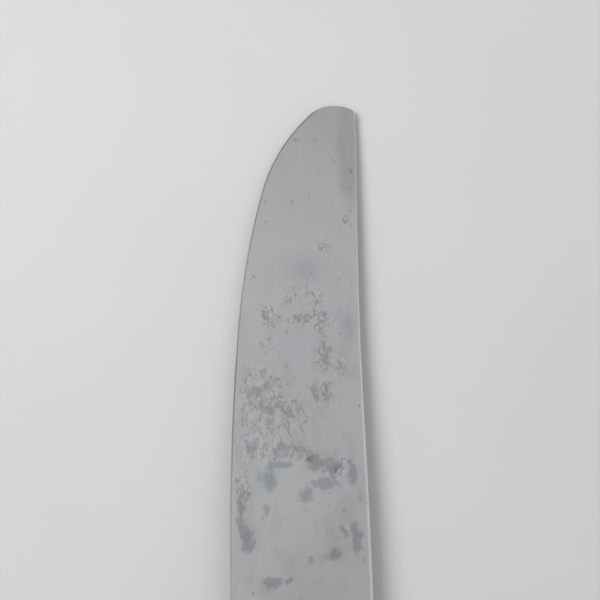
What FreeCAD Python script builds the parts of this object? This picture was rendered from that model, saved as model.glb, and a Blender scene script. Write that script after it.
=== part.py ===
import FreeCAD, Part
import math
import os
import Sketcher

# A riveted bread knife, lying on its side. Millimetres.
#
# Every piece is drawn in the knife's own drafting frame, and placed in the part frame at the end:
#   +Y runs from the handle to the tip, with y = 0 where the bolster meets the blade
#   +X is the spine side, -X the cutting edge
#   z = 0 is the middle plane of the blade and tang; the knife's left side faces +Z
# "Left" and "right" are the user's, with the edge down and the tip forward.

# The driving dimensions: name, value in millimetres or degrees, meaning.
DIMENSIONS = [
    # Blade outline. The cutting edge is a chain of tangent arcs, named by where each ends.
    ("spine_x", 15.0, "spine, from the knife's axis"),
    ("edge_x", -15.0, "cutting edge, from the knife's axis"),
    ("heel_y", 4.0, "back end of the cutting edge"),
    ("heel_corner", 1.5, "rounded corner at the heel"),
    ("straight_end_y", 92.0, "end of the straight stretch of the edge"),
    ("belly_end_y", 144.5, "end of the first, longest arc of the belly"),
    ("belly_radius", 675.0, "radius of that arc"),
    ("sweep_end_y", 181.0, "end of the second arc"),
    ("sweep_radius", 221.0, "radius of the second arc"),
    ("rise_end_y", 202.5, "end of the third arc, where the tip begins"),
    ("rise_radius", 50.0, "radius of the third arc"),
    ("nose_radius", 8.2, "blunt front of the tip"),
    ("tip_corner", 1.9, "rounded corner between the nose and the spine"),
    ("tip_x", 15.8, "reach of that corner, just past the spine"),
    ("trim_margin", 6.0, "how far the cutting tools reach past the piece"),
    ("bevel_depth", 0.7, "reach of the edge-grinding tool each side of the middle plane"),
    ("bevel_taper", 65.0, "slope of the edge bevel, in degrees from upright"),
    ("nose_taper", 20.0, "slope of the blunt nose, in degrees from upright"),
    # Blade cross-sections, from the bolster to the tip.
    ("station_first_y", 4.0, "where the full flat grind begins"),
    ("station_pitch", 34.0, "station to station"),
    ("ground_edge", 0.08, "half thickness at the edge side of each section"),
    ("flank_radius", 1000.0, "convex grind of the flanks"),
    # Handle outline.
    ("bolster_length", 20.0, "bolster, along the knife"),
    ("choil_x", -9.6, "underside of the bolster where it meets the blade"),
    ("back_radius", 900.0, "crown of the handle's back"),
    ("back_crown_y", -45.0, "where the back stands highest"),
    ("belly_side_radius", 600.0, "swell of the handle's underside"),
    ("belly_side_crown_y", -50.0, "where the underside stands lowest"),
    ("butt_y", -127.0, "end of the handle"),
    ("butt_x", 1.0, "middle of the butt's curve"),
    ("butt_radius", 45.0, "curve of the butt"),
    ("butt_corner", 12.0, "corner between the butt and the back"),
    ("beak_x", -14.8, "reach of the beak under the butt"),
    ("beak_radius", 7.0, "round of the beak"),
    ("waist_radius", 38.0, "hollow in front of the beak"),
    # Handle thickness and rounding.
    ("tang_half", 1.15, "half thickness of the tang"),
    ("handle_half", 8.0, "half thickness of the handle"),
    ("handle_round", 5.0, "rounding along the handle's outer edges"),
    ("shoulder_y", -13.0, "where the bolster starts to thin towards the blade"),
    ("shoulder_radius", 18.0, "hollow of that thinning"),
    ("shoulder_round", 1.0, "softened crest of the shoulder"),
    ("bolster_nose", 2.0, "height of the bolster's front above the middle plane"),
    # Pins and rivets.
    ("pin_radius", 1.5, "bolster pins"),
    ("pin_y", -16.5, "bolster pins, along the knife"),
    ("pin_middle_x", 2.8, "half way between the two bolster pins"),
    ("pin_spread", 5.0, "each pin from there"),
    ("rivet_x", 2.2, "line of the rivets"),
    ("rivet_front_y", -36.0, "front rivet"),
    ("rivet_pitch", 30.0, "rivet to rivet"),
    ("rivet_head_radius", 4.0, "rivet heads"),
    ("rivet_head_depth", 2.0, "rivet heads, sunk flush in the scales"),
    ("rivet_barrel_radius", 2.5, "barrel of the socket half"),
    ("rivet_post_radius", 1.7, "post of the other half, and bore of the barrel"),
    ("rivet_post_gap", 0.5, "spare depth past the end of the post"),
    ("rivet_bore_cap", 1.0, "metal left over the barrel's bore"),
]

# Blade stations, evenly spaced from the bolster to past the tip: spine line, half thickness at
# the spine, rounding of the spine's corners, and edge side, which stays just outside the edge.
STATIONS = [
    (15.00, 1.15, 1.00, -17.0),
    (15.00, 1.09, 0.98, -17.0),
    (15.00, 1.03, 0.93, -17.0),
    (14.97, 0.95, 0.78, -16.8),
    (14.66, 0.84, 0.48, -15.4),
    (15.20, 0.73, 0.30, -10.6),
    (15.65, 0.58, 0.25, 1.0),
]

# Which of the outline's five arcs each tool cuts.
EDGE_ARCS = range(0, 3)
NOSE_ARCS = range(3, 5)

RIVETS = ["front", "middle", "rear"]

# The points of a sketched curve, by number.
START = 1
END = 2
CENTRE = 3


class Size:
    """A length that knows both its value and the sheet formula it is bound to."""

    def __init__(self, value, formula):
        self.value = value
        self.formula = formula

    def combine(self, other, sign, value):
        formula = other.formula if isinstance(other, Size) else str(other)
        return Size(value, f"({self.formula} {sign} {formula})")

    def __add__(self, other):
        return self.combine(other, "+", self.value + number(other))

    def __sub__(self, other):
        return self.combine(other, "-", self.value - number(other))

    def __mul__(self, other):
        return self.combine(other, "*", self.value * number(other))

    def __neg__(self):
        return Size(-self.value, f"(-{self.formula})")

    def leg(self, other):
        """The other leg of a right triangle whose hypotenuse is this length."""
        value = math.sqrt(self.value**2 - number(other) ** 2)
        return Size(value, f"sqrt({self.formula}^2 - {other.formula}^2)")


def number(length):
    return length.value if isinstance(length, Size) else float(length)


ZERO = Size(0.0, "0")


class Sheet:
    """The driving dimensions as a spreadsheet, read back as Size attributes."""

    def __init__(self, doc):
        self.cells = doc.addObject("Spreadsheet::Sheet", "Sheet")
        self.row = 0
        for name, value, meaning in DIMENSIONS:
            self.add(name, value, meaning)
        for index, (spine, half, corner, edge) in enumerate(STATIONS):
            self.add(f"station{index}_spine_x", spine, f"spine line at station {index}")
            self.add(f"station{index}_half", half, f"half thickness at station {index}")
            self.add(f"station{index}_corner", corner, f"spine corner radius at station {index}")
            self.add(f"station{index}_edge_x", edge, f"edge side at station {index}")

    def add(self, name, value, meaning):
        self.row += 1
        self.cells.set(f"A{self.row}", meaning)
        self.cells.set(f"B{self.row}", str(value))
        self.cells.setAlias(f"B{self.row}", name)
        setattr(self, name, Size(float(value), f"Sheet.{name}"))


document = FreeCAD.newDocument("bread_knife")
size = Sheet(document)
document.recompute()


# ---------------------------------------------------------------- sketches


class Drawing:
    """A sketch on one of a body's own origin planes, with constraints bound to the sheet."""

    def __init__(self, body, name, plane="XY_Plane", lift=None):
        self.sketch = body.newObject("Sketcher::SketchObject", name)
        support = next(f for f in body.Origin.OriginFeatures if f.Role == plane)
        self.sketch.AttachmentSupport = (support, [""])
        self.sketch.MapMode = "FlatFace"
        if lift is not None:
            self.sketch.AttachmentOffset = FreeCAD.Placement(
                FreeCAD.Vector(0, 0, lift.value), FreeCAD.Rotation()
            )
            self.sketch.setExpression("AttachmentOffset.Base.z", lift.formula)

    def add(self, geometry):
        return self.sketch.addGeometry(geometry, False)

    def bind(self, constraint, length):
        index = self.sketch.addConstraint(constraint)
        self.sketch.setExpression(f"Constraints[{index}]", length.formula)

    def pin_x(self, piece, point, length):
        self.bind(Sketcher.Constraint("DistanceX", -1, 1, piece, point, length.value), length)

    def pin_y(self, piece, point, length):
        self.bind(Sketcher.Constraint("DistanceY", -1, 1, piece, point, length.value), length)

    def pin(self, piece, point, x, y):
        self.pin_x(piece, point, x)
        self.pin_y(piece, point, y)

    def set_radius(self, piece, length):
        self.bind(Sketcher.Constraint("Radius", piece, length.value), length)

    def circle(self, x, y, radius):
        shape = Part.Circle(vector(x, y), FreeCAD.Vector(0, 0, 1), radius.value)
        piece = self.add(shape)
        self.pin(piece, CENTRE, x, y)
        self.set_radius(piece, radius)

    def join(self, first, second, smooth=False):
        """Joins the nearest ends of two pieces, and makes the joint tangent where it is smooth."""
        one = self.sketch.Geometry[first]
        two = self.sketch.Geometry[second]
        spots = {START: one.StartPoint, END: one.EndPoint}
        others = {START: two.StartPoint, END: two.EndPoint}
        pairs = [(a, b) for a in spots for b in others]
        a, b = min(pairs, key=lambda pair: spots[pair[0]].distanceToPoint(others[pair[1]]))
        kind = "Tangent" if smooth else "Coincident"
        self.sketch.addConstraint(Sketcher.Constraint(kind, first, a, second, b))
        return a, b

    def polygon(self, corners, arcs=None):
        """A closed outline through pinned corners. Side n runs from corner n to the next, and is
        straight unless arcs gives it a (radius, bulges to the right of its direction)."""
        arcs = arcs or {}
        points = [vector(x, y) for x, y in corners]
        pieces = []
        for side, start in enumerate(points):
            end = points[(side + 1) % len(points)]
            if side in arcs:
                radius, to_right = arcs[side]
                piece = self.add(arc_between(start, end, radius.value, to_right))
                self.set_radius(piece, radius)
            else:
                piece = self.add(Part.LineSegment(start, end))
            pieces.append(piece)
        for side, piece in enumerate(pieces):
            following = pieces[(side + 1) % len(pieces)]
            ahead, _ = self.join_at(piece, following, points[(side + 1) % len(points)])
            x, y = corners[(side + 1) % len(corners)]
            self.pin(piece, ahead, x, y)
        return pieces

    def join_at(self, first, second, spot):
        """Joins the ends of two pieces that lie at one spot."""
        a = self.end_at(first, spot)
        b = self.end_at(second, spot)
        self.sketch.addConstraint(Sketcher.Constraint("Coincident", first, a, second, b))
        return a, b

    def end_at(self, piece, spot):
        geometry = self.sketch.Geometry[piece]
        near_start = geometry.StartPoint.distanceToPoint(spot)
        near_end = geometry.EndPoint.distanceToPoint(spot)
        return START if near_start < near_end else END


def vector(x, y):
    return FreeCAD.Vector(number(x), number(y), 0)


def arc_between(start, end, radius, to_right):
    """The arc of this radius from start to end, bulging to the right of that direction or left."""
    chord = end - start
    right = FreeCAD.Vector(chord.y, -chord.x, 0).normalize()
    to_centre = math.sqrt(radius**2 - (chord.Length / 2) ** 2)
    centre = start + chord * 0.5 - right * (to_centre if to_right else -to_centre)
    return circle_arc(centre, radius, start, end)


def circle_arc(centre, radius, start, end):
    """The shorter arc about a centre between two points, always drawn anticlockwise."""
    if (start - centre).cross(end - centre).z < 0:
        start, end = end, start
    angles = [math.atan2(spot.y - centre.y, spot.x - centre.x) for spot in (start, end)]
    circle = Part.Circle(centre, FreeCAD.Vector(0, 0, 1), radius)
    return Part.ArcOfCircle(circle, angles[0], angles[1])


# ---------------------------------------------------------------- features


def new_body(doc, label):
    body = doc.addObject("PartDesign::Body", label)
    body.Label = label
    return body


def pad(body, drawing, length, both_ways=False, backwards=False):
    feature = body.newObject("PartDesign::Pad", drawing.sketch.Name + "_pad")
    feature.Profile = drawing.sketch
    feature.Length = length.value
    feature.setExpression("Length", length.formula)
    feature.SideType = "Symmetric" if both_ways else "One side"
    feature.Reversed = backwards
    return finish_feature(body, feature)


def pocket(body, drawing, depth, taper=None):
    """Cuts the drawing out to this depth on both sides of its plane, and checks that it cut."""
    before = body.Shape.Volume
    feature = body.newObject("PartDesign::Pocket", drawing.sketch.Name + "_pocket")
    feature.Profile = drawing.sketch
    feature.SideType = "Two sides"
    for suffix in ("", "2"):
        setattr(feature, "Length" + suffix, depth.value)
        feature.setExpression("Length" + suffix, depth.formula)
        if taper is not None:
            setattr(feature, "TaperAngle" + suffix, taper.value)
            feature.setExpression("TaperAngle" + suffix, taper.formula)
    finish_feature(body, feature)
    if body.Shape.Volume >= before:
        raise RuntimeError(f"{feature.Name} cut nothing")
    return feature


def loft(body, drawings, ruled):
    feature = body.newObject("PartDesign::AdditiveLoft", drawings[-1].sketch.Name + "_loft")
    feature.Profile = drawings[0].sketch
    feature.Sections = [(drawing.sketch, [""]) for drawing in drawings[1:]]
    feature.Ruled = ruled
    return finish_feature(body, feature)


def fillet(body, radius, wanted):
    """Rounds every edge of the body's latest shape that the test picks."""
    base = body.Tip
    names = [f"Edge{i}" for i, edge in enumerate(base.Shape.Edges, start=1) if wanted(edge)]
    feature = body.newObject("PartDesign::Fillet", base.Name + "_fillet")
    feature.Base = (base, names)
    feature.Radius = radius.value
    feature.setExpression("Radius", radius.formula)
    return finish_feature(body, feature)


def revolve(body, drawing):
    """Turns a half profile drawn on the XZ plane about the sketch's own upright axis."""
    feature = body.newObject("PartDesign::Revolution", drawing.sketch.Name + "_turned")
    feature.Profile = drawing.sketch
    feature.ReferenceAxis = (drawing.sketch, ["V_Axis"])
    feature.Angle = 360
    return finish_feature(body, feature)


def finish_feature(body, feature):
    body.Tip = feature
    body.Document.recompute()
    return feature


# ---------------------------------------------------------------- handle outline


def back_centre():
    """The centre of the arc along the handle's back, which carries on from the spine."""
    return size.spine_x - size.back_radius.leg(size.back_crown_y), size.back_crown_y


def belly_side_centre():
    """The centre of the arc along the handle's underside."""
    return size.choil_x + size.belly_side_radius.leg(size.belly_side_crown_y), size.belly_side_crown_y


def back_x(along):
    """Where the handle's back is, at a distance along the knife."""
    centre_x, centre_y = back_centre()
    return centre_x + size.back_radius.leg(along - centre_y)


def belly_side_x(along):
    """Where the handle's underside is, at a distance along the knife."""
    centre_x, centre_y = belly_side_centre()
    return centre_x - size.belly_side_radius.leg(along - centre_y)


def meet(centre_one, reach_one, centre_two, reach_two, toward):
    """Where two circles meet, on the side of the point given."""
    line = centre_two - centre_one
    gap = line.Length
    along = (gap**2 + reach_one**2 - reach_two**2) / (2 * gap)
    off = math.sqrt(reach_one**2 - along**2)
    foot = centre_one + line * (along / gap)
    side = FreeCAD.Vector(-line.y, line.x, 0) * (off / gap)
    return min((foot + side, foot - side), key=lambda spot: spot.distanceToPoint(toward))


def on_way(centre, other, radius):
    """The point of a circle in the direction of another point."""
    return centre + (other - centre).normalize() * radius


def handle_outline(body, name, front, lift=None):
    """The full outline of the handle behind a straight front end: back, butt, beak, waist and
    underside, as six tangent arcs."""
    drawing = Drawing(body, name, lift=lift)
    back = vector(*back_centre())
    under = vector(*belly_side_centre())
    butt = vector(size.butt_x, size.butt_y + size.butt_radius)
    below = vector(size.butt_x, size.butt_y)
    corner = meet(back, (size.back_radius - size.butt_corner).value,
                  butt, (size.butt_radius - size.butt_corner).value, below)
    beak_x = (size.beak_x + size.beak_radius).value
    beak_drop = math.sqrt((size.butt_radius - size.beak_radius).value ** 2 - (beak_x - butt.x) ** 2)
    beak = FreeCAD.Vector(beak_x, butt.y - beak_drop, 0)
    outside = FreeCAD.Vector(beak.x - size.waist_radius.value, beak.y + size.waist_radius.value, 0)
    waist = meet(under, (size.belly_side_radius + size.waist_radius).value,
                 beak, (size.beak_radius + size.waist_radius).value, outside)

    joint_back = on_way(back, corner, size.back_radius.value)
    joint_butt = on_way(butt, corner, size.butt_radius.value)
    joint_beak = on_way(butt, beak, size.butt_radius.value)
    joint_waist = on_way(beak, waist, size.beak_radius.value)
    joint_under = on_way(under, waist, size.belly_side_radius.value)
    front_back = vector(back_x(front), front)
    front_under = vector(belly_side_x(front), front)

    arcs = [
        (back, size.back_radius, front_back, joint_back),
        (corner, size.butt_corner, joint_back, joint_butt),
        (butt, size.butt_radius, joint_butt, joint_beak),
        (beak, size.beak_radius, joint_beak, joint_waist),
        (waist, size.waist_radius, joint_waist, joint_under),
        (under, size.belly_side_radius, joint_under, front_under),
    ]
    pieces = []
    for centre, radius, start, end in arcs:
        piece = drawing.add(circle_arc(centre, radius.value, start, end))
        drawing.set_radius(piece, radius)
        pieces.append(piece)
    for first, second in zip(pieces, pieces[1:]):
        drawing.join(first, second, smooth=True)
    closing = drawing.add(Part.LineSegment(front_under, front_back))
    back_end, _ = drawing.join_at(pieces[0], closing, front_back)
    under_end, _ = drawing.join_at(pieces[-1], closing, front_under)
    drawing.pin(pieces[0], CENTRE, *back_centre())
    drawing.pin(pieces[-1], CENTRE, *belly_side_centre())
    drawing.pin(pieces[2], CENTRE, size.butt_x, size.butt_y + size.butt_radius)
    drawing.pin_x(pieces[3], CENTRE, size.beak_x + size.beak_radius)
    drawing.pin_y(pieces[0], back_end, front)
    drawing.pin_y(pieces[-1], under_end, front)
    return drawing


def rivet_places():
    """The middle of each rivet."""
    return [(size.rivet_x, size.rivet_front_y - size.rivet_pitch * step) for step in range(len(RIVETS))]


def pin_places():
    """The middle of each bolster pin: spine side first, edge side second."""
    return [
        (size.pin_middle_x + size.pin_spread, size.pin_y),
        (size.pin_middle_x - size.pin_spread, size.pin_y),
    ]


# ---------------------------------------------------------------- blade


def blade_section(body, name, along, spine, half, corner, edge_x, edge_half, flank_radius=None):
    """One cross-section of the blade: rounded spine on the right, thin edge on the left, and
    flanks that are flat, or slightly convex where a radius is given."""
    drawing = Drawing(body, name, plane="XZ_Plane", lift=-along)
    shoulder = spine - corner
    flat = half - corner
    corners = [
        (edge_x, -edge_half),
        (shoulder, -half),
        (spine, -flat),
        (spine, flat),
        (shoulder, half),
        (edge_x, edge_half),
    ]
    arcs = {1: (corner, True), 3: (corner, True)}
    if flank_radius is not None:
        arcs[0] = (flank_radius, True)
        arcs[4] = (flank_radius, True)
    drawing.polygon(corners, arcs)
    return drawing


def edge_chain(drawing, cutting):
    """Draws the five tangent arcs that the outline follows from the straight stretch of the edge to
    the spine: three along the edge, the nose and the tip's corner. Only the cutting ones belong to
    the tool's own outline. Returns the arcs and their joints."""
    centres = []
    joints = [vector(size.edge_x, size.straight_end_y)]
    heading = math.pi / 2
    for radius, end_y in (
        (size.belly_radius, size.belly_end_y),
        (size.sweep_radius, size.sweep_end_y),
        (size.rise_radius, size.rise_end_y),
    ):
        here = joints[-1]
        centre = here + FreeCAD.Vector(math.sin(heading), -math.cos(heading), 0) * radius.value
        heading = math.acos(math.cos(heading) + (end_y.value - here.y) / radius.value)
        away = FreeCAD.Vector(-math.sin(heading), math.cos(heading), 0)
        centres.append(centre)
        joints.append(centre + away * radius.value)
    inward = FreeCAD.Vector(math.sin(heading), -math.cos(heading), 0)
    nose = joints[-1] + inward * size.nose_radius.value
    corner_x = (size.tip_x - size.tip_corner).value
    rise = math.sqrt((size.nose_radius - size.tip_corner).value ** 2 - (corner_x - nose.x) ** 2)
    corner = FreeCAD.Vector(corner_x, nose.y + rise, 0)
    joints.append(on_way(nose, corner, size.nose_radius.value))
    joints.append(FreeCAD.Vector(size.tip_x.value, corner.y, 0))
    centres += [nose, corner]
    radii = [size.belly_radius, size.sweep_radius, size.rise_radius, size.nose_radius, size.tip_corner]

    arcs = []
    for index, (centre, radius) in enumerate(zip(centres, radii)):
        arc = drawing.add(circle_arc(centre, radius.value, joints[index], joints[index + 1]))
        drawing.set_radius(arc, radius)
        drawing.sketch.setConstruction(arc, index not in cutting)
        arcs.append(arc)
    for first, second in zip(arcs, arcs[1:]):
        drawing.join(first, second, smooth=True)
    drawing.pin(arcs[0], drawing.end_at(arcs[0], joints[0]), size.edge_x, size.straight_end_y)
    drawing.pin_y(arcs[0], CENTRE, size.straight_end_y)
    for arc, spot, end_y in zip(arcs, joints[1:], (size.belly_end_y, size.sweep_end_y, size.rise_end_y)):
        drawing.pin_y(arc, drawing.end_at(arc, spot), end_y)
    drawing.pin_x(arcs[-1], CENTRE, size.tip_x - size.tip_corner)
    level = Sketcher.Constraint(
        "Horizontal", arcs[-1], CENTRE, arcs[-1], drawing.end_at(arcs[-1], joints[-1])
    )
    drawing.sketch.addConstraint(level)
    return arcs, joints


def tool_back():
    """The far sides that the edge and nose tools share, clear of the blade: right, top and left."""
    right_x = size.tip_x + size.trim_margin
    top_y = size.station_first_y + size.station_pitch * len(STATIONS)
    left_x = size.edge_x - size.trim_margin
    return right_x, top_y, left_x


def edge_tool(body):
    """The tool that grinds the edge. It widens away from the middle plane, to leave the edge bevel,
    and runs straight on past the start of the nose, so that the bevel fades out there."""
    drawing = Drawing(body, "edge_grind")
    arcs, joints = edge_chain(drawing, cutting=EDGE_ARCS)
    edge_end = arcs[EDGE_ARCS[-1]]
    leaving = joints[len(EDGE_ARCS)]
    right_x, top_y, left_x = tool_back()
    back_y = -size.trim_margin
    across = leaving - drawing.sketch.Geometry[edge_end].Center
    run = (right_x.value - leaving.x) / across.y
    clear = leaving + FreeCAD.Vector(across.y, -across.x, 0) * run
    corners = [(right_x, top_y), (left_x, top_y), (left_x, back_y), (size.edge_x, back_y)]
    points = [leaving, clear] + [vector(x, y) for x, y in corners] + [joints[0]]
    sides = [drawing.add(Part.LineSegment(a, b)) for a, b in zip(points, points[1:])]
    drawing.join(edge_end, sides[0], smooth=True)
    drawing.join_at(sides[0], sides[1], clear)
    drawing.sketch.addConstraint(Sketcher.Constraint("Vertical", sides[1]))
    for first, second, (x, y) in zip(sides[1:], sides[2:], corners):
        far_end, _ = drawing.join_at(first, second, vector(x, y))
        drawing.pin(first, far_end, x, y)
    drawing.join_at(sides[-1], arcs[0], joints[0])
    return drawing


def nose_tool(body):
    """The tool that cuts the blunt nose and the tip's corner, nearly square to the flanks."""
    drawing = Drawing(body, "nose_cut")
    arcs, joints = edge_chain(drawing, cutting=NOSE_ARCS)
    start = joints[NOSE_ARCS[0]]
    tip = joints[-1]
    right_x, top_y, left_x = tool_back()
    points = [
        tip,
        FreeCAD.Vector(right_x.value, tip.y, 0),
        vector(right_x, top_y),
        vector(left_x, top_y),
        FreeCAD.Vector(left_x.value, start.y, 0),
        start,
    ]
    sides = [drawing.add(Part.LineSegment(a, b)) for a, b in zip(points, points[1:])]
    drawing.join_at(arcs[-1], sides[0], tip)
    for first, second, spot in zip(sides, sides[1:], points[1:]):
        drawing.join_at(first, second, spot)
    drawing.join_at(sides[-1], arcs[NOSE_ARCS[0]], start)
    for side, level in zip(sides, ("Horizontal", "Vertical", "Horizontal", "Vertical", "Horizontal")):
        drawing.sketch.addConstraint(Sketcher.Constraint(level, side))
    drawing.pin(sides[1], drawing.end_at(sides[1], points[2]), right_x, top_y)
    drawing.pin_x(sides[3], drawing.end_at(sides[3], points[3]), left_x)
    return drawing


def heel_tool(body):
    """The tool that cuts the heel square behind the edge, with a small round corner."""
    drawing = Drawing(body, "heel_cut")
    out_x = size.edge_x - size.trim_margin
    round_y = size.heel_y + size.heel_corner
    corners = [
        (size.choil_x, size.heel_y),
        (size.edge_x + size.heel_corner, size.heel_y),
        (size.edge_x, round_y),
        (out_x, round_y),
        (out_x, -size.trim_margin),
        (size.choil_x, -size.trim_margin),
    ]
    drawing.polygon(corners, {1: (size.heel_corner, False)})
    return drawing


def make_blade(doc):
    body = new_body(doc, "blade")
    # The unground stretch next to the bolster runs out into the flat grind.
    root = blade_section(body, "root_section", ZERO, size.spine_x, size.tang_half,
                         size.station0_corner, size.station0_edge_x, size.tang_half)
    sections = []
    for index in range(len(STATIONS)):
        sections.append(blade_section(
            body, f"section{index}",
            size.station_first_y + size.station_pitch * index,
            getattr(size, f"station{index}_spine_x"),
            getattr(size, f"station{index}_half"),
            getattr(size, f"station{index}_corner"),
            getattr(size, f"station{index}_edge_x"),
            size.ground_edge, size.flank_radius,
        ))
    loft(body, [root, sections[0]], ruled=True)
    loft(body, sections, ruled=False)
    pocket(body, edge_tool(body), size.bevel_depth, taper=size.bevel_taper)
    pocket(body, nose_tool(body), size.bevel_depth, taper=size.nose_taper)
    pocket(body, heel_tool(body), size.handle_half)
    pad(body, handle_outline(body, "tang_outline", ZERO), size.tang_half * 2, both_ways=True)
    holes = Drawing(body, "tang_holes")
    for x, y in rivet_places():
        holes.circle(x, y, size.rivet_barrel_radius)
    for x, y in pin_places():
        holes.circle(x, y, size.pin_radius)
    pocket(body, holes, size.handle_half)
    return body


# ---------------------------------------------------------------- bolsters and scales


def is_outer_long_edge(side):
    """Picks the edges of a handle piece that run along its outer face, but not across it."""

    def wanted(edge):
        box = edge.BoundBox
        outer = abs(side * box.ZMin - size.handle_half.value) < 0.01 and box.ZLength < 0.01
        across = box.YLength < 0.01
        return outer and not across

    return wanted


def is_shoulder_crest(side):
    """Picks the crest where the bolster's flat side turns down towards the blade."""

    def wanted(edge):
        box = edge.BoundBox
        at_shoulder = abs(box.YMin - size.shoulder_y.value) < 0.01 and box.YLength < 0.01
        return at_shoulder and abs(side * box.ZMin - size.handle_half.value) < 0.01

    return wanted


def make_bolster(doc, label, side):
    """A bolster half: the handle's outline in front of the scales, thinning to the blade."""
    body = new_body(doc, label)
    rear = -size.bolster_length
    front = ZERO
    outline = Drawing(body, label + "_outline", lift=size.tang_half * side)
    outline.polygon(
        [
            (back_x(rear), rear),
            (back_x(front), front),
            (belly_side_x(front), front),
            (belly_side_x(rear), rear),
        ],
        {0: (size.back_radius, True), 2: (size.belly_side_radius, True)},
    )
    pad(body, outline, size.handle_half - size.tang_half, backwards=side < 0)
    fillet(body, size.handle_round, is_outer_long_edge(side))
    profile = Drawing(body, label + "_profile", plane="YZ_Plane")
    above = (size.handle_half + size.trim_margin) * side
    corners = [
        (size.shoulder_y, size.handle_half * side),
        (front, size.bolster_nose * side),
        (size.trim_margin, size.bolster_nose * side),
        (size.trim_margin, above),
        (size.shoulder_y, above),
    ]
    profile.polygon(corners, {0: (size.shoulder_radius, side > 0)})
    pocket(body, profile, size.spine_x * 2)
    fillet(body, size.shoulder_round, is_shoulder_crest(side))
    holes = Drawing(body, label + "_holes")
    for x, y in pin_places():
        holes.circle(x, y, size.pin_radius)
    pocket(body, holes, size.handle_half * 2)
    return body


def make_scale(doc, label, side):
    """A wooden scale, with a stepped hole for each rivet."""
    body = new_body(doc, label)
    outline = handle_outline(body, label + "_outline", -size.bolster_length, lift=size.tang_half * side)
    pad(body, outline, size.handle_half - size.tang_half, backwards=side < 0)
    fillet(body, size.handle_round, is_outer_long_edge(side))
    barrels = Drawing(body, label + "_barrel_holes")
    heads = Drawing(body, label + "_head_holes", lift=size.handle_half * side)
    for x, y in rivet_places():
        barrels.circle(x, y, size.rivet_barrel_radius)
        heads.circle(x, y, size.rivet_head_radius)
    pocket(body, barrels, size.handle_half * 2)
    pocket(body, heads, size.rivet_head_depth)
    return body


# ---------------------------------------------------------------- pins and rivets


def turned_piece(doc, label, corners, place):
    """A turned piece from its half profile (radius, height), standing at a place on the knife."""
    body = new_body(doc, label)
    drawing = Drawing(body, label + "_profile", plane="XZ_Plane")
    drawing.polygon(corners)
    revolve(body, drawing)
    return body, place


def make_pin(doc, label, place):
    corners = [
        (ZERO, -size.handle_half),
        (size.pin_radius, -size.handle_half),
        (size.pin_radius, size.handle_half),
        (ZERO, size.handle_half),
    ]
    return turned_piece(doc, label, corners, place)


def make_socket(doc, label, place):
    """The left half of a rivet: a flat head with a bored barrel that reaches the other head."""
    under = size.handle_half - size.rivet_head_depth
    bore_end = under - size.rivet_bore_cap
    corners = [
        (size.rivet_post_radius, -under),
        (size.rivet_barrel_radius, -under),
        (size.rivet_barrel_radius, under),
        (size.rivet_head_radius, under),
        (size.rivet_head_radius, size.handle_half),
        (ZERO, size.handle_half),
        (ZERO, bore_end),
        (size.rivet_post_radius, bore_end),
    ]
    return turned_piece(doc, label, corners, place)


def make_post(doc, label, place):
    """The right half of a rivet: a flat head with a solid post that fills the barrel."""
    under = size.handle_half - size.rivet_head_depth
    post_end = under - size.rivet_bore_cap - size.rivet_post_gap
    corners = [
        (ZERO, -size.handle_half),
        (size.rivet_head_radius, -size.handle_half),
        (size.rivet_head_radius, -under),
        (size.rivet_post_radius, -under),
        (size.rivet_post_radius, post_end),
        (ZERO, post_end),
    ]
    return turned_piece(doc, label, corners, place)


# ---------------------------------------------------------------- assembly


def make_pieces(doc):
    """Every piece, as (body, place on the knife)."""
    middle = (ZERO, ZERO)
    pieces = [(make_blade(doc), middle)]
    for name, side in (("left", 1), ("right", -1)):
        pieces.append((make_bolster(doc, f"bolster_{name}", side), middle))
        pieces.append((make_scale(doc, f"scale_{name}", side), middle))
    for name, place in zip(("upper", "lower"), pin_places()):
        pieces.append(make_pin(doc, f"bolster_pin_{name}", place))
    for name, place in zip(RIVETS, rivet_places()):
        pieces.append(make_socket(doc, f"rivet_{name}_socket", place))
        pieces.append(make_post(doc, f"rivet_{name}_post", place))
    return pieces


def place_pieces(pieces):
    """Moves every piece to the part frame, whose origin is under the middle of the knife's box."""
    box = FreeCAD.BoundBox()
    for body, (x, y) in pieces:
        body.Placement = FreeCAD.Placement(vector(x, y), FreeCAD.Rotation())
        box.add(body.Shape.optimalBoundingBox(False))
    origin = FreeCAD.Vector(box.Center.x, box.Center.y, box.ZMin)
    for body, _ in pieces:
        body.Placement = FreeCAD.Placement(body.Placement.Base - origin, FreeCAD.Rotation())


def check(doc, bodies):
    for item in doc.Objects:
        if "Invalid" in item.State or "Error" in item.State:
            raise RuntimeError(f"{item.Name} failed: {item.State}")
    for body in bodies:
        shape = body.Shape
        if shape.isNull() or not shape.isValid() or len(shape.Solids) != 1:
            raise RuntimeError(f"{body.Label} isn't one valid solid")


def export(bodies):
    os.makedirs("parts", exist_ok=True)
    for body in bodies:
        body.Shape.exportStep(os.path.join("parts", body.Label + ".step"))


all_pieces = make_pieces(document)
place_pieces(all_pieces)
document.recompute()
all_bodies = [body for body, _ in all_pieces]
check(document, all_bodies)
export(all_bodies)
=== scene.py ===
import math

import bpy
from mathutils import Matrix, Vector


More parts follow.
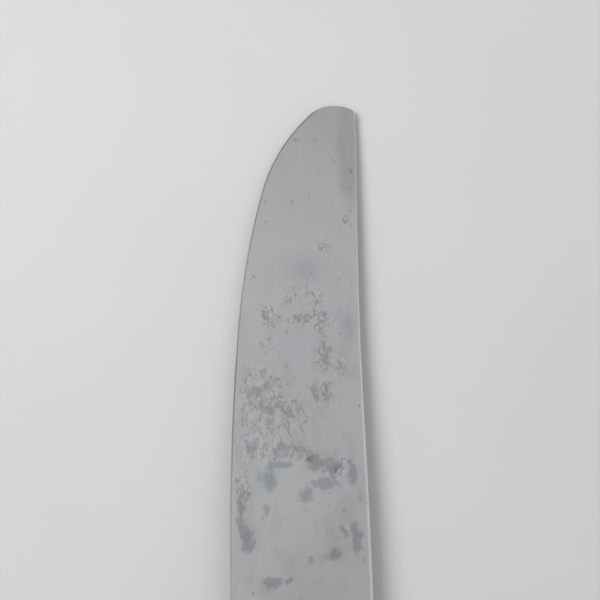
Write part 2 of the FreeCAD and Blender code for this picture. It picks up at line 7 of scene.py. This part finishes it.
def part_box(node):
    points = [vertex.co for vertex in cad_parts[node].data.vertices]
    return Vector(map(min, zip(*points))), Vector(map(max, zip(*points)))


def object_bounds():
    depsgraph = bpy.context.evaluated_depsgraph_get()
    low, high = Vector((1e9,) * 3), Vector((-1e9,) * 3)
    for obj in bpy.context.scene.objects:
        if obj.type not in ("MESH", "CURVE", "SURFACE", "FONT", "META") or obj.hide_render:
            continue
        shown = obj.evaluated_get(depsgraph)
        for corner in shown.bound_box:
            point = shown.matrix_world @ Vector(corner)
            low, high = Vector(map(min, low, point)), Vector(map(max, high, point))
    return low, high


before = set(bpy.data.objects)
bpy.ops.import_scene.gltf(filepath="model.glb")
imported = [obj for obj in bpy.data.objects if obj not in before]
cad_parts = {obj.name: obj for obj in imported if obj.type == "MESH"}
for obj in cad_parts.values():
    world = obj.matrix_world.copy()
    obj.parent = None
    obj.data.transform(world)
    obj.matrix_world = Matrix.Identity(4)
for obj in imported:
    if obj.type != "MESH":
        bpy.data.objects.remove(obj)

# The looks of a bread knife that lies on its right side on a pale table.
# +Y runs from the handle to the tip, +X from the cutting edge to the spine, +Z up.
# Lengths are in metres, except inside the materials, where places and sizes are in millimetres.

MM = 0.001
CAD_BOX = [list(corner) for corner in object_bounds()]

BLADE_LOW, BLADE_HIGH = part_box("blade")
_, BOLSTER_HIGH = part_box("bolster_left")
_, SCALE_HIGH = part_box("scale_left")
BLADE_WIDTH = 30 * MM
TIP_Y = BLADE_HIGH.y
SPINE_X = BLADE_LOW.x + BLADE_WIDTH
MIDDLE_Z = (CAD_BOX[0][2] + CAD_BOX[1][2]) / 2

RIVET_PLACES = ("front", "middle", "rear")
RIVETS = [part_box(f"rivet_{place}_socket") for place in RIVET_PLACES]
PINS = [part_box(f"bolster_pin_{place}") for place in ("upper", "lower")]


# ---------------------------------------------------------------- material building

class Shading:
    """A node tree that is built by short calls, which add nodes and give back their outputs."""

    def node(self, kind, inputs=None, **settings):
        made = self.tree.nodes.new("ShaderNode" + kind)
        for name, value in settings.items():
            setattr(made, name, value)
        for key, value in (inputs or {}).items():
            self.feed(made.inputs[key], value)
        return made

    def feed(self, socket, value):
        if isinstance(value, bpy.types.NodeSocket):
            self.tree.links.new(value, socket)
        else:
            socket.default_value = value

    def calc(self, operation, first, second=0.0):
        return self.node("Math", {0: first, 1: second}, operation=operation).outputs[0]

    def times(self, *values):
        product = values[0]
        for value in values[1:]:
            product = self.calc("MULTIPLY", product, value)
        return product

    def plus(self, *values):
        total = values[0]
        for value in values[1:]:
            total = self.calc("ADD", total, value)
        return total

    def band(self, value, low, high):
        """0 below low, 1 above high, smooth between. With low above high it falls instead of rising."""
        inputs = {"Value": value, "From Min": low, "From Max": high}
        if low > high:
            inputs.update({"From Min": high, "From Max": low, "To Min": 1.0, "To Max": 0.0})
        return self.node("MapRange", inputs, interpolation_type="SMOOTHSTEP").outputs[0]


class Surface(Shading):
    """One procedural material, whose places and sizes are in millimetres."""

    def __init__(self, name, metallic):
        self.material = bpy.data.materials.new(name)
        self.material.use_nodes = True
        self.tree = self.material.node_tree
        self.shader = self.tree.nodes["Principled BSDF"]
        self.shader.inputs["Metallic"].default_value = metallic
        coordinates = self.node("TexCoord")
        self.facing = coordinates.outputs["Normal"]
        self.place = self.node("VectorMath", {0: coordinates.outputs["Object"], "Scale": 1 / MM},
                               operation="SCALE").outputs[0]

    def axis(self, vector, name):
        return self.node("SeparateXYZ", {0: vector}).outputs[name]

    def scaled(self, stretch, turn=0.0, place=None):
        """The place with each axis multiplied by stretch, after a turn about Z in degrees."""
        rotation = (0, 0, math.radians(turn))
        turned = self.node("Mapping", {"Vector": place or self.place, "Rotation": rotation})
        return self.node("VectorMath", {0: turned.outputs[0], 1: stretch}, operation="MULTIPLY").outputs[0]

    def noise(self, size, place=None, detail=2.0, rough=0.5, warp=0.0):
        """Soft noise whose lumps are about size across."""
        inputs = {"Vector": place or self.place, "Scale": 1 / size, "Detail": detail,
                  "Roughness": rough, "Distortion": warp}
        return self.node("TexNoise", inputs).outputs["Fac"]

    def mix(self, factor, first, second, blend="MIX"):
        made = self.node("Mix", data_type="RGBA", blend_type=blend)
        for socket, value in zip((made.inputs[0], made.inputs[6], made.inputs[7]), (factor, first, second)):
            if isinstance(value, tuple):
                value = (*value, 1.0)
            self.feed(socket, value)
        return made.outputs[2]

    def darker(self, colour, factor, keep):
        """The colour, multiplied by keep where the factor is 1."""
        tint = keep if isinstance(keep, tuple) else (keep, keep, keep)
        return self.mix(factor, colour, tint, blend="MULTIPLY")

    def oval(self, centre, half, place=None):
        """1 at the centre, falling to 0 at the rim of an upright oval post; centre and half are (x, y)."""
        moved = self.node("Mapping", {"Vector": place or self.place}, vector_type="POINT")
        moved.inputs["Location"].default_value = (-centre[0] / half[0], -centre[1] / half[1], 0)
        moved.inputs["Scale"].default_value = (1 / half[0], 1 / half[1], 0)
        return self.node("TexGradient", {0: moved.outputs[0]}, gradient_type="SPHERICAL").outputs["Fac"]

    def warped(self, amount, size):
        """The place, pushed about by up to roughly amount, in waves of size."""
        noise = self.node("TexNoise", {"Vector": self.place, "Scale": 1 / size, "Detail": 2.0})
        wave = noise.outputs["Color"]
        centred = self.node("VectorMath", {0: wave, 1: (0.5, 0.5, 0.5)}, operation="SUBTRACT").outputs[0]
        push = self.node("VectorMath", {0: centred, "Scale": 4 * amount}, operation="SCALE").outputs[0]
        return self.node("VectorMath", {0: self.place, 1: push}, operation="ADD").outputs[0]

    def scratches(self, length, width, turn, amount):
        """Thin marks of about that length and width along Y, turned by turn degrees. The amount, from 0
        to 1, says how many there are."""
        place = self.scaled((1 / width, 1 / length, 1 / width), turn)
        marks = self.node("TexNoise", {"Vector": place, "Scale": 1.0, "Detail": 1.0}).outputs["Fac"]
        level = 0.75 - 0.15 * amount
        return self.band(marks, level, level + 0.05)

    def near_pin(self, box, reach):
        """1 on the rim of a round pin, falling to 0 at reach to either side of it."""
        low, high = box
        centre = (low + high) / (2 * MM)
        radius = (high.x - low.x) / (2 * MM)
        offset = self.node("VectorMath", {0: self.place, 1: (centre.x, centre.y, 0)}, operation="SUBTRACT")
        flat = self.node("VectorMath", {0: offset.outputs[0], 1: (1, 1, 0)}, operation="MULTIPLY").outputs[0]
        distance = self.node("VectorMath", {0: flat}, operation="LENGTH").outputs["Value"]
        gap = self.calc("ABSOLUTE", self.calc("SUBTRACT", distance, radius))
        return self.band(gap, reach, 0.0)

    def bump(self, height, depth):
        """A normal that follows height, whose step from 0 to 1 is a real depth in millimetres."""
        inputs = {"Height": height, "Distance": depth * MM, "Strength": 1.0}
        return self.node("Bump", inputs).outputs[0]

    def finish(self, colour, roughness, normal):
        self.feed(self.shader.inputs["Base Color"], colour)
        self.feed(self.shader.inputs["Roughness"], roughness)
        self.feed(self.shader.inputs["Normal"], normal)
        return self.material


# ---------------------------------------------------------------- blade

# Places on the blade, each as: distance behind the tip, distance from the spine, half length along the
# blade, half width across it (all in millimetres) and strength.

# Where fine dark marks crowd together.
MARKED = [
    (33.5, 2.5, 3, 1.5, 0.8),
    (40, 9, 4, 6, 0.5),
    (52, 11, 4.5, 5, 0.8),
    (54, 16.5, 3.5, 2.5, 0.8),
    (58.5, 21, 4, 3.5, 1.3),
    (60, 14.5, 3.5, 4.5, 1.2),
    (59.5, 9, 5, 3, 1.4),
    (66, 21, 3.5, 2.5, 0.9),
    (69, 9, 7, 3, 1.5),
    (71, 5.5, 6.5, 2.5, 0.8),
    (78.5, 9.5, 4.5, 3.5, 1.6),
    (77.5, 21.5, 10, 6, 1.1),
    (78, 26.5, 8, 3, 0.8),
    (82, 15.5, 3, 6, 0.8),
    (87, 21, 8, 10, 0.9),
    (92.5, 26.5, 4.5, 4, 1.0),
    (93, 17, 4, 8, 1.2),
    (97, 7, 6, 6, 0.7),
    (101, 27, 8, 3, 0.8),
    (140, 9, 14, 8, 0.7),
    (160, 21, 16, 8, 0.8),
    (182, 10, 16, 9, 0.7),
]
# Filled dark patches.
PATCHED = [
    (95.5, 11, 3, 4, 0.9),
    (96.5, 7, 3, 2.6, 0.8),
    (98.5, 3.5, 5, 1.5, 0.9),
    (101, 9.5, 2.2, 5.2, 0.9),
    (103.5, 14, 3.2, 2.2, 0.9),
    (99.5, 21.5, 5, 2.8, 0.8),
    (96, 18.5, 1.7, 4, 0.7),
    (106.5, 22.5, 3.2, 1.3, 0.8),
    (106, 27.5, 6, 1.4, 0.8),
    (113, 26.5, 5, 2.4, 0.9),
    (113.5, 3, 6, 2.1, 1.0),
    (112, 6, 3.2, 1.6, 0.8),
    (117.5, 7.5, 2.3, 3.4, 0.8),
    (118.5, 12.5, 1.8, 1.4, 0.8),
    (123, 21, 2.4, 3.4, 1.1),
    (123, 17.5, 1.4, 1.1, 0.8),
    (146, 6, 5, 3, 0.9),
    (152, 23, 4, 3, 0.9),
    (174, 12, 6, 4, 0.9),
]
# Soft clouds.
CLOUDED = [
    (46.5, 13, 7, 9, 0.55),
    (15, 1, 20, 3.4, 0.9),
    (2, 8, 34, 24, 0.50),
    (62, 3, 9, 3, 0.5),
    (106, 27, 20, 6, 0.55),
    (127, 18, 22, 24, 0.75),
    (113, 5, 9, 6, 0.5),
    (170, 16, 18, 12, 0.5),
]
# Faint colours in the steel.
BLUISH = [(99.5, 21.5, 7, 4, 1.0), (46.5, 12, 5, 6, 0.7), (60, 5, 6, 5, 0.6), (66, 17, 7, 7, 0.5)]
WARM = [(104, 19, 4, 5, 0.8), (53, 9.5, 5, 3.5, 0.8), (61, 15.5, 5, 4, 0.6), (93, 12.5, 4, 4, 0.6),
        (83, 28, 8, 3, 0.6)]
VIOLET = [(90, 26, 6, 4, 0.9), (96, 16, 3, 6, 0.8), (30, 12, 22, 16, 0.5), (76, 12, 14, 12, 0.5)]

# How far behind the tip the duller back of the blade starts, and where it is fully dull, in millimetres.
BACK_STARTS = 45
BACK_FULL = 80
# The sideways part of a normal, where the edge bevel's painted shade and the spine's corner, lightened
# partly as rubbed wear and partly as a painted highlight, start and are full.
PAINTED_BEVEL_SHADE_FACING = (-0.20, -0.32)
CORNER_WEAR_AND_HIGHLIGHT_FACING = (0.25, 0.60)


def blade_steel():
    steel = Surface("blade_steel", metallic=1.0)
    tip = TIP_Y / MM
    spine = SPINE_X / MM
    drifting = steel.warped(amount=0.9, size=3.5)

    def spots(places):
        total = 0.0
        for behind, below, long, wide, strength in places:
            oval = steel.oval((spine - below, tip - behind), (wide, long), drifting)
            total = steel.plus(steel.times(oval, strength), total)
        return total

    flanks = steel.scaled((1, 0.58, 8))
    crowded = spots(MARKED)
    uneven = steel.noise(2.6, flanks, detail=2)
    density = steel.plus(steel.calc("MINIMUM", crowded, 1.0), uneven, -0.48)

    worms = steel.noise(2.3, flanks, detail=2, rough=0.5, warp=0.6)
    off_level = steel.calc("ABSOLUTE", steel.calc("SUBTRACT", worms, 0.5))
    threads = steel.times(steel.band(off_level, 0.045, 0.010), steel.band(density, 0.22, 0.5))
    mottle = steel.noise(1.5, flanks, detail=4, rough=0.68)
    blots = steel.band(steel.plus(mottle, steel.times(density, 0.17)), 0.62, 0.72)
    depth = steel.band(steel.noise(1.1, flanks, detail=3), 0.30, 0.62)
    marks = steel.times(steel.calc("MAXIMUM", threads, blots), steel.plus(steel.times(depth, 0.6), 0.4))

    ragged = steel.noise(1.0, flanks, detail=3, rough=0.65)
    patches = steel.band(steel.plus(spots(PATCHED), steel.times(ragged, 0.9)), 0.62, 1.05)
    clouds = steel.band(spots(CLOUDED), 0.0, 0.8)
    specks = steel.band(steel.noise(0.5, flanks, detail=2, rough=0.6), 0.72, 0.76)
    glints = steel.times(steel.band(steel.noise(0.8, flanks, detail=2), 0.60, 0.68),
                         steel.band(density, 0.1, 0.4))

    back = steel.band(steel.axis(steel.place, "Y"), tip - BACK_STARTS, tip - BACK_FULL)
    broad = steel.noise(22, flanks, detail=2)
    dull = steel.times(steel.band(steel.noise(4.5, flanks, detail=3, rough=0.6), 0.48, 0.66),
                       steel.plus(steel.times(back, 0.7), 0.3))
    along = steel.scratches(length=34, width=0.10, turn=0.6, amount=0.5)
    across = steel.scratches(length=22, width=0.09, turn=-24, amount=0.2)
    drawn = steel.noise(0.3, steel.scaled((1, 0.02, 1)), detail=3)
    sideways = steel.axis(steel.facing, "X")
    # The edge bevel is darkened as painted shade, standing in for a dark reflection, more so towards the
    # handle.
    bevel_painted_shade = steel.times(steel.band(sideways, *PAINTED_BEVEL_SHADE_FACING), steel.plus(steel.times(back, 0.8), 0.2))
    # The spine's rounded corner is lightened partly as rubbed wear and partly as a painted highlight.
    worn_corner_and_highlight = steel.band(sideways, *CORNER_WEAR_AND_HIGHLIGHT_FACING)

    colour = steel.mix(steel.band(broad, 0.3, 0.7), (0.562, 0.562, 0.572), (0.602, 0.602, 0.610))
    colour = steel.mix(steel.times(spots(VIOLET), 0.9), colour, (0.585, 0.572, 0.602))
    colour = steel.mix(steel.times(spots(BLUISH), 0.9), colour, (0.530, 0.575, 0.595))
    colour = steel.mix(steel.times(spots(WARM), 0.9), colour, (0.600, 0.580, 0.545))
    colour = steel.darker(colour, dull, (0.925, 0.925, 0.92))
    colour = steel.darker(colour, clouds, (0.80, 0.80, 0.80))
    colour = steel.mix(steel.times(glints, 0.6), colour, (0.68, 0.68, 0.68))
    colour = steel.darker(colour, patches, (0.66, 0.67, 0.69))
    colour = steel.darker(colour, marks, (0.64, 0.64, 0.65))
    colour = steel.darker(colour, specks, 0.85)
    colour = steel.mix(steel.times(along, 0.25), colour, (0.66, 0.66, 0.67))
    colour = steel.mix(steel.times(across, 0.2), colour, (0.48, 0.48, 0.49))
    # Painted shade on the edge bevel.
    colour = steel.darker(colour, bevel_painted_shade, 0.48)
    # Rubbed wear and a painted highlight on the spine's corner.
    colour = steel.mix(steel.times(worn_corner_and_highlight, 0.8), colour, (0.74, 0.74, 0.73))

    roughness = steel.plus(0.36, steel.times(drawn, 0.06), steel.times(patches, 0.08),
                           steel.times(marks, 0.08), steel.times(clouds, 0.05), steel.times(along, -0.06))
    height = steel.plus(steel.times(drawn, 0.25), steel.times(patches, -0.25), steel.times(marks, -0.4),
                        steel.times(specks, -0.4), steel.times(along, -0.25), steel.times(across, -0.25))
    return steel.finish(colour, roughness, steel.bump(height, depth=0.008))


# ---------------------------------------------------------------- bolsters and pins

def bolster_metal(name, shade):
    """Worn nickel silver; shade scales its lightness."""
    metal = Surface(name, metallic=1.0)
    light = (0.62 * shade, 0.61 * shade, 0.58 * shade)
    warm = (0.56 * shade, 0.53 * shade, 0.46 * shade)
    cloudy = metal.noise(6, detail=4, rough=0.6, warp=0.5)
    handled = metal.scratches(length=5, width=0.10, turn=35, amount=0.7)
    rubbed = metal.scratches(length=9, width=0.12, turn=-50, amount=0.5)
    drawn = metal.noise(0.25, metal.scaled((1, 0.05, 1), turn=90), detail=3)
    spots = metal.band(metal.noise(1.1, detail=3, rough=0.6), 0.66, 0.74)
    rims = 0.0
    for box in PINS:
        rims = metal.plus(metal.near_pin(box, reach=0.14), rims)

    colour = metal.mix(metal.band(cloudy, 0.42, 0.68), light, warm)
    colour = metal.darker(colour, spots, 0.72)
    colour = metal.darker(colour, rims, 0.45)
    colour = metal.mix(metal.times(handled, 0.4), colour, (0.74, 0.73, 0.70))
    roughness = metal.plus(0.24, metal.times(drawn, 0.10), metal.times(cloudy, 0.12),
                           metal.times(spots, 0.12))
    height = metal.plus(metal.times(drawn, 0.3), metal.times(handled, -0.5), metal.times(rubbed, -0.4),
                        metal.times(spots, -0.5), metal.times(rims, -0.8))
    return metal.finish(colour, roughness, metal.bump(height, depth=0.015))


# ---------------------------------------------------------------- wooden scales

def handle_wood():
    wood = Surface("handle_wood", metallic=0.0)
    swaying = wood.warped(amount=1.2, size=26)
    rings = wood.noise(3.2, wood.scaled((1, 0.05, 1.3), turn=1.5, place=swaying), detail=3, rough=0.55)
    fibres = wood.noise(0.45, wood.scaled((1, 0.035, 1), turn=1.5), detail=4, rough=0.65)
    pores = wood.band(wood.noise(0.30, wood.scaled((1, 0.09, 1), turn=1.5), detail=1), 0.64, 0.70)
    broad = wood.noise(30, detail=2)
    rims = 0.0
    for box in RIVETS:
        rims = wood.plus(wood.near_pin(box, reach=0.7), rims)
    front_y = SCALE_HIGH.y / MM
    front = wood.band(wood.axis(wood.place, "Y"), front_y - 3, front_y + 1)
    grime = wood.calc("MAXIMUM", wood.times(rims, 0.9), front)

    colour = wood.mix(wood.band(rings, 0.36, 0.64), (0.27, 0.125, 0.058), (0.13, 0.055, 0.026))
    colour = wood.mix(wood.times(wood.band(fibres, 0.45, 0.7), 0.5), colour, (0.33, 0.17, 0.085))
    colour = wood.darker(colour, wood.times(wood.band(broad, 0.4, 0.65), 0.6), (0.80, 0.74, 0.70))
    colour = wood.darker(colour, pores, (0.35, 0.30, 0.28))
    colour = wood.darker(colour, wood.times(grime, 0.7), (0.45, 0.40, 0.38))
    roughness = wood.plus(0.42, wood.times(fibres, 0.16), wood.times(pores, 0.2),
                          wood.times(grime, 0.1))
    height = wood.plus(wood.times(fibres, 0.35), wood.times(rings, -0.25), wood.times(pores, -0.8),
                       wood.times(rims, -0.5))
    return wood.finish(colour, roughness, wood.bump(height, depth=0.05))


# ---------------------------------------------------------------- brass rivets

def rivet_brass():
    brass = Surface("rivet_brass", metallic=1.0)
    cloudy = brass.noise(2.6, detail=4, rough=0.6, warp=0.4)
    tarnish = brass.band(brass.noise(1.0, detail=3, rough=0.6), 0.58, 0.70)
    fine = brass.scratches(length=4, width=0.07, turn=18, amount=0.8)
    crossing = brass.scratches(length=3, width=0.08, turn=-62, amount=0.5)
    rims = 0.0
    for box in RIVETS:
        rims = brass.plus(brass.near_pin(box, reach=0.45), rims)

    colour = brass.mix(brass.band(cloudy, 0.4, 0.65), (0.72, 0.54, 0.27), (0.60, 0.42, 0.19))
    colour = brass.darker(colour, brass.times(tarnish, 0.7), (0.55, 0.50, 0.42))
    colour = brass.darker(colour, rims, (0.45, 0.38, 0.30))
    colour = brass.mix(brass.times(fine, 0.4), colour, (0.84, 0.68, 0.40))
    roughness = brass.plus(0.26, brass.times(cloudy, 0.14), brass.times(tarnish, 0.16),
                           brass.times(rims, 0.1))
    height = brass.plus(brass.times(fine, -0.5), brass.times(crossing, -0.5), brass.times(tarnish, -0.4),
                        brass.times(rims, -0.5))
    return brass.finish(colour, roughness, brass.bump(height, depth=0.012))


def dress(names, material):
    for name in names:
        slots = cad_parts[name].material_slots
        for slot in slots:
            slot.material = material


RIVET_HALVES = [f"rivet_{place}_{half}" for place in RIVET_PLACES for half in ("socket", "post")]
dress(["blade"], blade_steel())
dress(["bolster_left", "bolster_right"], bolster_metal("bolster_metal", shade=1.0))
dress(["bolster_pin_upper", "bolster_pin_lower"], bolster_metal("pin_metal", shade=0.92))
dress(["scale_left", "scale_right"], handle_wood())
dress(RIVET_HALVES, rivet_brass())


# ---------------------------------------------------------------- table

# The knife leans forward on the fullest part of its bolster, with its tip just clear of the table. The part
# frame keeps the knife level, so the table slopes up towards the tip by the angle of that lean instead.
CREST_BEHIND_FRONT = 13 * MM
CREST_Y = BOLSTER_HIGH.y - CREST_BEHIND_FRONT
TILT = math.radians(1.8)
TABLE_HALF = 2.0


def table_height(y):
    return (y - CREST_Y) * math.tan(TILT)


def make_table():
    half = TABLE_HALF
    mesh = bpy.data.meshes.new("table")
    corners = [(-half, -half), (half, -half), (half, half), (-half, half)]
    mesh.from_pydata([(x, y, table_height(y)) for x, y in corners], [], [(0, 1, 2, 3)])
    table = bpy.data.objects.new("table", mesh)
    bpy.context.scene.collection.objects.link(table)
    paper = Surface("table_paper", metallic=0.0)
    cloudy = paper.noise(60, detail=3)
    flecks = paper.band(paper.noise(1.2, detail=2), 0.74, 0.80)
    colour = paper.mix(paper.band(cloudy, 0.35, 0.65), (0.715, 0.715, 0.71), (0.73, 0.73, 0.725))
    colour = paper.darker(colour, flecks, 0.93)
    grain = paper.noise(0.8, detail=3)
    paper.finish(colour, paper.plus(0.62, paper.times(cloudy, 0.1)), paper.bump(grain, depth=0.02))
    paper.shader.inputs["Specular IOR Level"].default_value = 0.2
    mesh.materials.append(paper.material)


make_table()


# ---------------------------------------------------------------- light and camera

def aimed(position, target):
    """A world matrix at position whose -Z points at target, with its X level."""
    turn = (target - position).to_track_quat("-Z", "Y").to_matrix().to_4x4()
    return Matrix.Translation(position) @ turn


AIM_BEHIND_TIP = 54.8 * MM
AIM_ACROSS = 0.66 * MM
AIM_ABOVE_MIDDLE = 0.7 * MM
AIM = Vector((AIM_ACROSS, TIP_Y - AIM_BEHIND_TIP, MIDDLE_Z + AIM_ABOVE_MIDDLE))
CAMERA_DISTANCE = 420 * MM
CAMERA_ELEVATION = math.radians(60)
# The camera looks a little to the spine's side of straight ahead.
CAMERA_HEADING = math.radians(1.3)
# As Blender takes them, in millimetres.
SENSOR_WIDTH = 36
FOCAL_LENGTH = 110.16


def make_camera():
    data = bpy.data.cameras.new("camera")
    data.sensor_width = SENSOR_WIDTH
    data.lens = FOCAL_LENGTH
    data.clip_start = 0.01
    camera = bpy.data.objects.new("camera", data)
    bpy.context.scene.collection.objects.link(camera)
    level = math.cos(CAMERA_ELEVATION)
    back = Vector((-level * math.sin(CAMERA_HEADING), -level * math.cos(CAMERA_HEADING),
                   math.sin(CAMERA_ELEVATION)))
    camera.matrix_world = aimed(AIM + CAMERA_DISTANCE * back, AIM)
    bpy.context.scene.camera = camera


def softbox(name, azimuth, elevation, distance, size, power, spread=180, beside=(0, 0)):
    """An area lamp in a direction and at a distance from the aim point. It faces that point, or a place
    beside it by that much in X and Y. The spread, in degrees, narrows its beam."""
    data = bpy.data.lights.new(name, "AREA")
    data.shape = "RECTANGLE"
    data.size, data.size_y = size
    data.energy = power
    data.spread = math.radians(spread)
    lamp = bpy.data.objects.new(name, data)
    bpy.context.scene.collection.objects.link(lamp)
    faced = AIM + Vector((*beside, 0))
    lamp.matrix_world = aimed(AIM + distance * towards(azimuth, elevation), faced)


def towards(azimuth, elevation):
    """The direction of that azimuth, 0 towards +Y and 90 towards +X, and that elevation, in degrees."""
    around, up = math.radians(azimuth), math.radians(elevation)
    return Vector((math.sin(around) * math.cos(up), math.cos(around) * math.cos(up), math.sin(up)))


SURROUND_COLOUR = (0.86, 0.868, 0.878, 1)
SURROUND_STRENGTH = 0.70
# The surround's soft parts: azimuth, elevation, inner and outer reach in degrees, and added strength.
SURROUND_PARTS = [
    (55, 32, 10, 50, 0.16),
    (-55, 32, 12, 48, -0.40),
    (180, 84, 16, 40, -0.42),
]


class Sky(Shading):
    """The studio's walls and ceiling: a pale surround with wide, soft, lighter and darker parts."""

    def __init__(self):
        world = bpy.data.worlds.new("studio")
        world.use_nodes = True
        bpy.context.scene.world = world
        self.tree = world.node_tree
        self.direction = self.node("TexCoord").outputs["Generated"]

    def part(self, azimuth, elevation, inner, outer):
        """1 within inner degrees of a direction, 0 beyond outer degrees."""
        centre = towards(azimuth, elevation)
        along = self.node("VectorMath", {0: self.direction, 1: centre}, operation="DOT_PRODUCT")
        low, high = math.cos(math.radians(outer)), math.cos(math.radians(inner))
        return self.band(along.outputs["Value"], low, high)

    def paint(self):
        strength = SURROUND_STRENGTH
        for azimuth, elevation, inner, outer, added in SURROUND_PARTS:
            part = self.part(azimuth, elevation, inner, outer)
            strength = self.plus(strength, self.times(part, added))
        background = self.tree.nodes["Background"]
        background.inputs["Color"].default_value = SURROUND_COLOUR
        self.feed(background.inputs["Strength"], strength)


def make_light():
    Sky().paint()
    softbox("key", azimuth=-86, elevation=52, distance=0.62, size=(0.40, 0.40), power=0.55,
            spread=78, beside=(-0.015, 0.095))
    softbox("fill", azimuth=6, elevation=55, distance=1.1, size=(0.9, 0.25), power=0.22)


make_camera()
make_light()
bpy.context.scene.view_settings.view_transform = "Standard"
